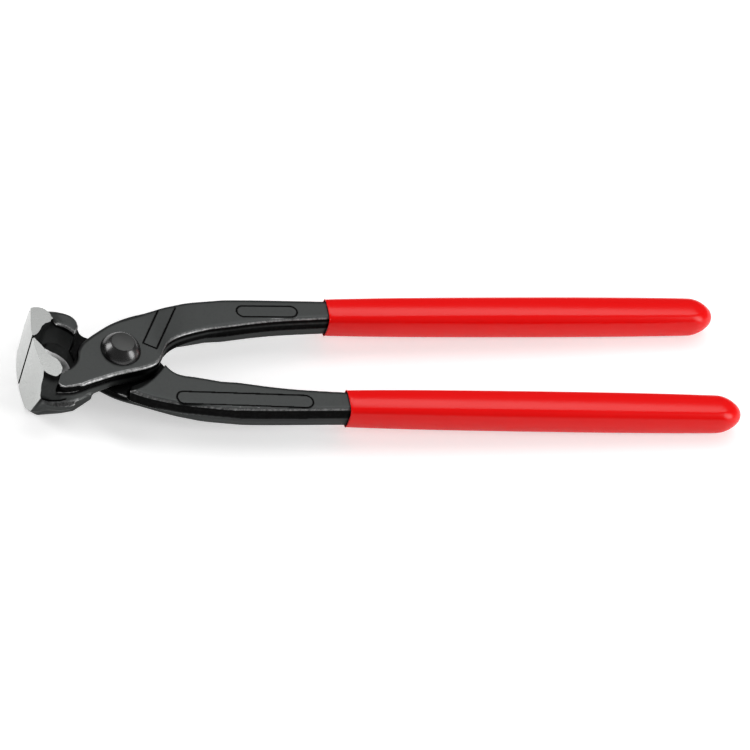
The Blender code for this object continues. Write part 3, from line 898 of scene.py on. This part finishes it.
def mark_skin(made, engraved, line_width, upper):
    """Writes the painted highlight on the rims, the painted shade in near black and where the engraved lines are,
    for the finish to read.
    """
    mesh = made.data
    skin = Skin(mesh)
    rim_highlight = skin.bend()
    rise = skin.normals[:, 2].copy()
    for _ in range(2):
        rim_highlight = skin.spread(rim_highlight)
        rise = skin.spread(rise)
    rim_highlight = painted_rim_highlight(skin, rim_highlight, rise, upper)
    black = painted_shade_share(skin, rise, upper)
    line, clear = by_lines(skin.places, engraved, line_width)
    rim_highlight *= clear
    if upper:
        # Painted highlight on the lip under the near jaw's crease
        lip = skin.near * (skin.along < LIP_HIGHLIGHT_END) * smooth_step(skin.level, *LIP_HIGHLIGHT[0])
        lip = lip * (1 - smooth_step(skin.level, *LIP_HIGHLIGHT[1])) * smooth_step(rise, 0.1, 0.35)
        rim_highlight = np.maximum(rim_highlight, LIP_HIGHLIGHT_BEND * lip)
    else:
        rim_highlight = np.maximum(rim_highlight, 0)
    for name, values in (("rim_highlight", rim_highlight * MM), ("black", np.maximum(black, line)), ("line", line)):
        layer = mesh.attributes.new(name, "FLOAT", "POINT")
        layer.data.foreach_set("value", values.astype(np.float32))


def black_steel(steel):
    """Phosphated steel, with painted shade in near black on its upper flanks and painted highlights on its rims.
    """
    finish = Finish("black_steel")
    grain = finish.noise(scale=2600.0, detail=2.0)
    cloud = finish.noise(scale=60.0, detail=5.0)
    speckle = (finish.noise(scale=1000.0, detail=4.0, roughness=0.7) * 4.0 - 1.5).clamped()
    line = finish.attribute("line")
    # Painted highlight on the rims, flecked by the speckle and left out of the engraved lines
    rim_highlight = ((finish.attribute("rim_highlight") - 0.12) * 5.0).clamped() * (1 - line)
    # Painted shade in near black on the upper flanks and in sheltered places, with the engraved lines black in it
    # too
    black = (finish.attribute("black") + (speckle - 0.5) * 0.12).clamped()
    flat = finish.blend(cloud, scaled(steel.flat_colour, 0.9), scaled(steel.flat_colour, 1.1))
    colour = finish.blend(black, flat, tuple(steel.painted_shade_colour))
    colour = finish.blend(rim_highlight * (0.25 + speckle * 0.75), colour, tuple(steel.rim_highlight_colour))
    height = grain * 0.7 + cloud * 0.3 + speckle * rim_highlight * 0.6
    return finish.surface({
        "Base Color": colour,
        "Metallic": 0.95,
        "Specular Tint": (0.45, 0.45, 0.45, 1),
        "Roughness": 0.4 + cloud * 0.12 - rim_highlight * 0.08,
        "Normal": finish.bump(height, distance=0.02 * MM, strength=0.6),
    })


def scaled(colour, share):
    """A colour made lighter or darker."""
    return (*(part * share for part in colour[:3]), 1)


def ground_steel(name, steel, share):
    """Bright steel with the fine lines of a grinding wheel, its share scaled to paint how much light falls on each
    ground face.
    """
    finish = Finish(name)
    lines = finish.noise(scale=1.0, detail=3.0, squeeze=(250.0, 7000.0, 700.0))
    cloud = finish.noise(scale=90.0, detail=3.0)
    dark = scaled(steel.ground_colour, share * 0.95)
    light = scaled(steel.ground_colour, share * 1.05)
    return finish.surface({
        "Base Color": finish.blend(lines, dark, light),
        "Metallic": 1.0,
        "Roughness": 0.2 + lines * 0.12 + cloud * 0.05,
        "Normal": finish.bump(lines, distance=0.002 * MM, strength=0.5),
    })


def turned(name, profile, steps):
    """A closed turned piece round the rivet's axis: rings drawn out from one disc."""
    radius, level = profile[0]
    add = bpy.ops.mesh.primitive_circle_add
    place = PIVOT + Vector((0, 0, level))
    made = added(add, vertices=steps, radius=radius, fill_type="NGON", location=place)
    made.name = name
    edit(made, "SELECT")
    for next_radius, next_level in profile[1:]:
        rise = (0, 0, next_level - level)
        bpy.ops.mesh.extrude_region_move(TRANSFORM_OT_translate={"value": rise})
        scale = next_radius / radius
        bpy.ops.transform.resize(value=(scale, scale, 1))
        radius, level = next_radius, next_level
    face_out()
    return at_rest(made)


class PLIERS_OT_rivet(bpy.types.Operator):
    """Turn the rivet with its two set heads"""

    bl_idname = "pliers.rivet"
    bl_label = "Rivet"

    def execute(self, context):
        rivet = context.scene.pliers_rivet
        low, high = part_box("pivot_rivet")
        crown = high.z - PIVOT.z
        head = (high.x - low.x) / 2
        seat = crown - RIVET_HEIGHT
        below = (head ** 2 - RIVET_FLAT ** 2 - RIVET_HEIGHT ** 2) / (2 * RIVET_HEIGHT)
        radius = math.hypot(head, below)
        first, last = math.asin(RIVET_FLAT / radius), math.asin(head / radius)
        half = [
            (0.02 * MM, crown),
            (RIVET_FLAT - RIVET_RIM, crown),
            (RIVET_FLAT - RIVET_RIM / 3, crown - RIVET_RIM / 8),
        ]
        for index in range(1, RIVET_STEPS + 1):
            turn = first + (last - first) * (index - 0.6) / (RIVET_STEPS - 0.6)
            half.append((radius * math.sin(turn), seat - below + radius * math.cos(turn)))
        half.append((head - RIVET_RIM, seat))
        half.append((RIVET_SHANK, seat))
        profile = [(radius, -level) for radius, level in half] + half[::-1]
        made = turned("pivot_rivet_turned", profile, rivet.steps)
        made.data.materials.append(rivet_steel(rivet))
        bpy.ops.object.shade_smooth_by_angle(angle=SHARP_RIVET)
        ready(made, "pivot_rivet")
        return {"FINISHED"}


def rivet_steel(rivet):
    """Glossy black steel, worn grey on the two flats."""
    finish = Finish("rivet_steel")
    cloud = finish.noise(scale=400.0, detail=4.0)
    grain = finish.noise(scale=2200.0, detail=2.0)
    height = finish.node("ShaderNodeSeparateXYZ", values={"Vector": finish.place}, output="Z")
    low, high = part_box("pivot_rivet")
    crown = (high.z - low.z) / 2
    above = finish.node("ShaderNodeMath", {"operation": "ABSOLUTE"}, {0: height - PIVOT.z})
    on_flat = ((above - (crown - 0.06 * MM)) * 20000.0).clamped()
    worn = finish.blend(cloud, scaled(rivet.flat_colour, 0.8), scaled(rivet.flat_colour, 1.2))
    return finish.surface({
        "Base Color": finish.blend(on_flat, tuple(rivet.colour), worn),
        "Metallic": on_flat * 0.9,
        "Roughness": 0.2 + cloud * 0.1 + on_flat * 0.18,
        "Specular IOR Level": 0.95,
        "Normal": finish.bump(cloud * 0.6 + grain * 0.4, distance=0.012 * MM, strength=0.4),
    })


def grip_section(made, half_width, half_height, corner, crown):
    """Draws the selected ring of points into a square with round corners."""
    shape = bmesh.from_edit_mesh(made.data)
    ring = [vert for vert in shape.verts if vert.select]
    middle = sum((vert.co for vert in ring), Vector()) / len(ring)
    order = sorted(ring, key=lambda vert: math.atan2(vert.co.z - middle.z, vert.co.y - middle.y))
    for index, vert in enumerate(order):
        angle = (2 * index + 1) * math.pi / len(order) - math.pi
        y, z = rounded_square(angle, half_width, half_height, corner, crown)
        vert.co = middle + Vector((0, y, z))
    bmesh.update_edit_mesh(made.data)


def rounded_square(turn, half_width, half_height, corner, crown):
    """The point where a square with round corners and crowned sides faces in one direction."""
    round_off = corner / ((half_width + half_height) / 2)
    back = crown - 1
    middle = (math.sqrt(2 * (crown - round_off) ** 2 - back ** 2) - back) / 2
    across, up = abs(math.cos(turn)), abs(math.sin(turn))
    side_ends = math.atan2(middle, middle + back)
    folded = math.atan2(up, across)
    if folded < side_ends:
        y, z = crown * across - back, crown * up
    elif folded > math.pi / 2 - side_ends:
        y, z = crown * across, crown * up - back
    else:
        y, z = middle + round_off * across, middle + round_off * up
    y = math.copysign(y * half_width, math.cos(turn))
    z = math.copysign(z * half_height, math.sin(turn))
    return y, z


def grip_rows(node, grip):
    """Rings of a grip, from deep in its bore, out over its lip and on to its nose."""
    low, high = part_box(node)
    side = 1 if high.y + low.y > 0 else -1
    start, end = low.x, high.x
    shoulder = end - GRIP_NOSE
    bore_wide, bore_high = GRIP_BORE

    def middle(along):
        share = (along - start) / (end - start)
        return side * (GRIP_MIDDLE[0] + (GRIP_MIDDLE[1] - GRIP_MIDDLE[0]) * share) * MM

    def row(along, wall, corner, crown=GRIP_CROWN):
        return (along, middle(along), bore_wide + wall, bore_high + wall, corner, crown)

    def wall(along):
        share = (along - start) / (shoulder - start)
        return grip.wall * np.interp(share, *zip(*GRIP_WALLS))

    def corner(along):
        return np.interp((along - start) / GRIP_CORNER_REACH, (0, 1), GRIP_CORNERS) * MM

    lip = grip.lip
    rows = [
        row(end - TANG_STOP, -0.5 * MM, BORE_CORNER, BORE_CROWN),
        row(start + 2 * MM, 0, BORE_CORNER, BORE_CROWN),
        row(start + 0.4 * MM, 0, BORE_CORNER, BORE_CROWN),
        row(start + 0.05 * MM, 0.08 * MM, BORE_CORNER, BORE_CROWN),
        row(start, 0.25 * MM, BORE_CORNER + 0.2 * MM, BORE_CROWN),
        row(start, wall(start) - 0.9 * lip, corner(start) - 0.9 * lip),
        row(start + 0.3 * lip, wall(start) - 0.25 * lip, corner(start) - 0.25 * lip),
        row(start + lip, wall(start), corner(start)),
    ]
    for index in range(1, GRIP_BODY_STEPS + 1):
        along = start + lip + (shoulder - start - lip) * index / GRIP_BODY_STEPS
        rows.append(row(along, wall(along), corner(along)))
    _, _, wide, tall, last_corner, _ = rows[-1]
    for index in range(1, GRIP_NOSE_STEPS):
        turn = math.pi / 2 * index / GRIP_NOSE_STEPS
        shrink = math.cos(turn)
        along = shoulder + GRIP_NOSE * math.sin(turn)
        round_off = last_corner + (tall - last_corner) * min(index / 8, 1)
        rows.append((along, middle(along), wide * shrink, tall * shrink, round_off * shrink, GRIP_CROWN))
    rows.append((end, middle(end), GRIP_TIP, GRIP_TIP, GRIP_TIP, GRIP_CROWN))
    return rows


def dipped_grip(node, name, grip):
    """A sleeve drawn out from the bottom of its bore, over its lip and round its nose."""
    rows = grip_rows(node, grip)
    along, across, wide, tall, corner, crown = rows[0]
    made = disc(GRIP_POINTS, tall, (along, across, PIVOT.z), rotation=(0, math.pi / 2, 0))
    made.name = name
    edit(made, "SELECT")
    grip_section(made, wide, tall, corner, crown)
    for next_along, next_across, *section in rows[1:]:
        move = (next_along - along, next_across - across, 0)
        bpy.ops.mesh.extrude_region_move(TRANSFORM_OT_translate={"value": move})
        grip_section(made, *section)
        along, across = next_along, next_across
    face_out()
    apply_modifier(made, "SUBSURF", levels=2, render_levels=2)
    bpy.ops.object.shade_smooth_by_angle(angle=SHARP_GRIP)
    return made


class PLIERS_OT_grips(bpy.types.Operator):
    """Dip the two plastic grips"""

    bl_idname = "pliers.grips"
    bl_label = "Grips"

    def execute(self, context):
        grip = context.scene.pliers_grip
        plastic = red_plastic(grip)
        for node in ("lower_grip", "upper_grip"):
            made = dipped_grip(node, node + "_dipped", grip)
            made.data.materials.append(plastic)
            ready(made, node)
        return {"FINISHED"}


def red_plastic(grip):
    """Glossy plastic with the slow waves of a dipped coat."""
    finish = Finish("red_plastic")
    waves = finish.noise(scale=120.0, detail=2.0, squeeze=(0.25, 1.0, 1.0))
    skin = finish.noise(scale=900.0, detail=2.0)
    return finish.surface({
        "Base Color": tuple(grip.colour),
        "Roughness": 0.17 + waves * 0.1,
        "Specular IOR Level": 0.23,
        "Normal": finish.bump(waves * 0.9 + skin * 0.1, distance=0.03 * MM, strength=0.4),
    })


def white_stage(stage):
    """Pale and matt, with a little light of its own that the camera and gloss see, but not in the mouth."""
    finish = Finish("white_floor")
    places = {0: finish.place, 1: MOUTH_SHADE}
    off = finish.node("ShaderNodeVectorMath", {"operation": "DISTANCE"}, places, "Value")
    open_floor = ((off - MOUTH_SHADE_RADIUS) * MOUTH_SHADE_SOFTNESS).clamped()
    matt = {"Base Color": tuple(stage.floor_colour), "Roughness": 0.9, "Specular IOR Level": 0.1}
    shader = finish.node("ShaderNodeBsdfPrincipled", values=matt)
    seen = finish.ray("Is Camera Ray") + finish.ray("Is Glossy Ray") + finish.ray("Is Transmission Ray")
    strength = seen.clamped() * open_floor * stage.floor_glow
    light = finish.node("ShaderNodeEmission", values={"Color": (1, 1, 1, 1), "Strength": strength})
    both = finish.node("ShaderNodeAddShader", values={0: shader, 1: light})
    finish.node("ShaderNodeOutputMaterial", values={"Surface": both})
    return finish.material


def softbox(name, shape, towards, size, power):
    """An area lamp that faces the pliers from one direction."""
    data = bpy.data.lights.new(name, "AREA")
    data.shape = shape
    data.size, data.size_y = size
    data.energy = power
    lamp = bpy.data.objects.new(name, data)
    direction = Vector(towards).normalized()
    lamp.location = LAMP_CENTRE + direction * LAMP_DISTANCE
    lamp.rotation_euler = direction.to_track_quat("Z", "Y").to_euler()
    bpy.context.scene.collection.objects.link(lamp)


def add_camera():
    """Stands the camera where the photograph was taken from."""
    cos_e, sin_e = math.cos(VIEW_ELEVATION), math.sin(VIEW_ELEVATION)
    back = Vector((math.sin(VIEW_AZIMUTH) * cos_e, -math.cos(VIEW_AZIMUTH) * cos_e, sin_e))
    right = Vector((0, 0, 1)).cross(back).normalized()
    up = back.cross(right)
    roll = Matrix.Rotation(VIEW_ROLL, 3, back)
    right, up = roll @ right, roll @ up
    data = bpy.data.cameras.new("photograph")
    data.sensor_width = 36
    data.lens = VIEW_FOCUS_PIXELS * data.sensor_width / PICTURE_PIXELS
    data.clip_start = 0.05
    data.clip_end = 20
    camera = bpy.data.objects.new("photograph", data)
    place = PIVOT - right * VIEW_SHIFT.x - up * VIEW_SHIFT.y + back * VIEW_DISTANCE
    camera.matrix_world = Matrix.Translation(place) @ Matrix((right, up, back)).transposed().to_4x4()
    bpy.context.scene.collection.objects.link(camera)
    bpy.context.scene.camera = camera


class PLIERS_OT_stage(bpy.types.Operator):
    """Set the floor, the lights and the camera"""

    bl_idname = "pliers.stage"
    bl_label = "Stage"

    def execute(self, context):
        stage = context.scene.pliers_stage
        grip_low, grip_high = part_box("upper_grip")
        heel = PIVOT.x - HEEL
        slope = math.atan2(grip_low.z, grip_high.x - GRIP_NOSE - heel)
        add = bpy.ops.mesh.primitive_grid_add
        floor = added(add, x_subdivisions=8, y_subdivisions=8, size=stage.floor_size)
        floor.name = "floor"
        floor.rotation_euler = (0, -slope, 0)
        floor.location = (0, 0, -heel * math.tan(slope))
        floor.data.materials.append(white_stage(stage))
        softbox(*OVERHEAD_LAMP, stage.strip_power)
        for lamp in SIDE_LAMPS:
            softbox(*lamp, stage.side_power)
        world = bpy.data.worlds.new("studio")
        world.use_nodes = True
        shade = world.node_tree.nodes["Background"]
        shade.inputs["Color"].default_value = (1, 1, 1, 1)
        shade.inputs["Strength"].default_value = stage.sky
        context.scene.world = world
        context.scene.view_settings.view_transform = "Standard"
        add_camera()
        return {"FINISHED"}


class PLIERS_PT_panel(bpy.types.Panel):
    """The pliers' pieces and the stage, in the order in which they are made"""

    bl_label = "Rebar Tying Pliers"
    bl_idname = "PLIERS_PT_panel"
    bl_space_type = "VIEW_3D"
    bl_region_type = "UI"
    bl_category = "Pliers"

    def draw(self, context):
        for made in OPERATORS:
            self.layout.operator(made.bl_idname)


GROUPS = (
    ("pliers_steel", PliersSteel),
    ("pliers_rivet", PliersRivet),
    ("pliers_grip", PliersGrip),
    ("pliers_stage", PliersStage),
)
OPERATORS = (PLIERS_OT_stage, PLIERS_OT_levers, PLIERS_OT_rivet, PLIERS_OT_grips)


def register():
    for name, group in GROUPS:
        bpy.utils.register_class(group)
        setattr(bpy.types.Scene, name, PointerProperty(type=group))
    for made in (*OPERATORS, PLIERS_PT_panel):
        bpy.utils.register_class(made)


def unregister():
    for made in (PLIERS_PT_panel, *reversed(OPERATORS)):
        bpy.utils.unregister_class(made)
    for name, group in reversed(GROUPS):
        delattr(bpy.types.Scene, name)
        bpy.utils.unregister_class(group)


def main():
    register()
    bpy.ops.pliers.stage()
    bpy.ops.pliers.levers()
    bpy.ops.pliers.rivet()
    bpy.ops.pliers.grips()


if __name__ == "__main__":
    main()
